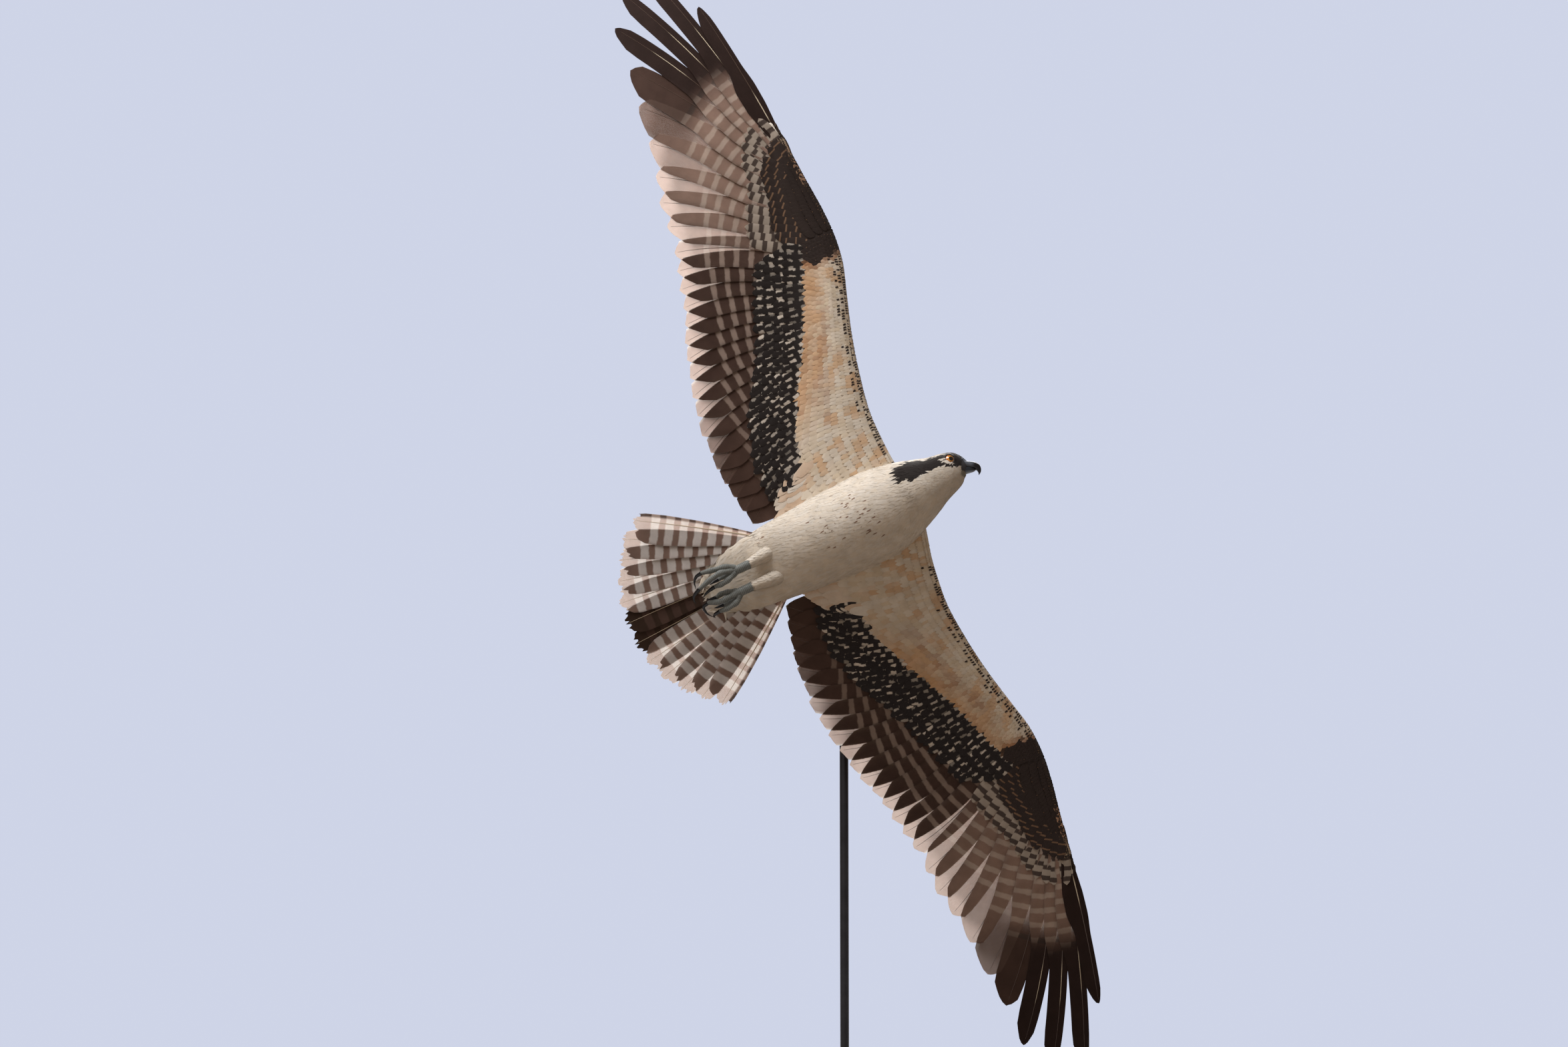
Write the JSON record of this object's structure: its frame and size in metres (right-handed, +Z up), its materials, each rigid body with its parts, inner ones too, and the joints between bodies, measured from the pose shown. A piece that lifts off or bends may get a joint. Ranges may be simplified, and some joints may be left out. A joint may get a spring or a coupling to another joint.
{
  "type": "osprey",
  "caption": "Life-size osprey in banked flight with wings and tail spread and feet tucked back, held by a plain rod on a round base.",
  "frame": {"origin": "middle of the underside of the stand's round base, on the floor", "axes": "+Z up; the bird's belly faces -Y and leans down by 8 degrees; its head points to +X and up, its right wing to -X and up, its left wing to +X and down"},
  "size_m": [0.6773, 0.34, 1.5868],
  "materials": {
    "white_plumage": "matte",
    "head_plumage": "matte",
    "wing_plumage": "matte",
    "tail_plumage": "matte",
    "bill": "satin",
    "eye": "gloss",
    "feet": "matte",
    "claw": "gloss",
    "stand": "satin"
  },
  "bodies": {
    "root": {"torso": "white_plumage", "neck": "white_plumage", "head": "head_plumage", "bill_upper": "bill", "bill_lower": "bill", "tail": "tail_plumage", "stand_rod": "stand", "stand_base": "stand", "eye_left": "eye", "wing_left_arm": "wing_plumage", "wing_left_hand": "wing_plumage", "leg_left": "white_plumage", "foot_left": "feet", "claw_left_inner": "claw", "claw_left_middle": "claw", "claw_left_outer": "claw", "claw_left_hind": "claw", "eye_right": "eye", "wing_right_arm": "wing_plumage", "wing_right_hand": "wing_plumage", "leg_right": "white_plumage", "foot_right": "feet", "claw_right_inner": "claw", "claw_right_middle": "claw", "claw_right_outer": "claw", "claw_right_hind": "claw"}
  },
  "joints": []
}
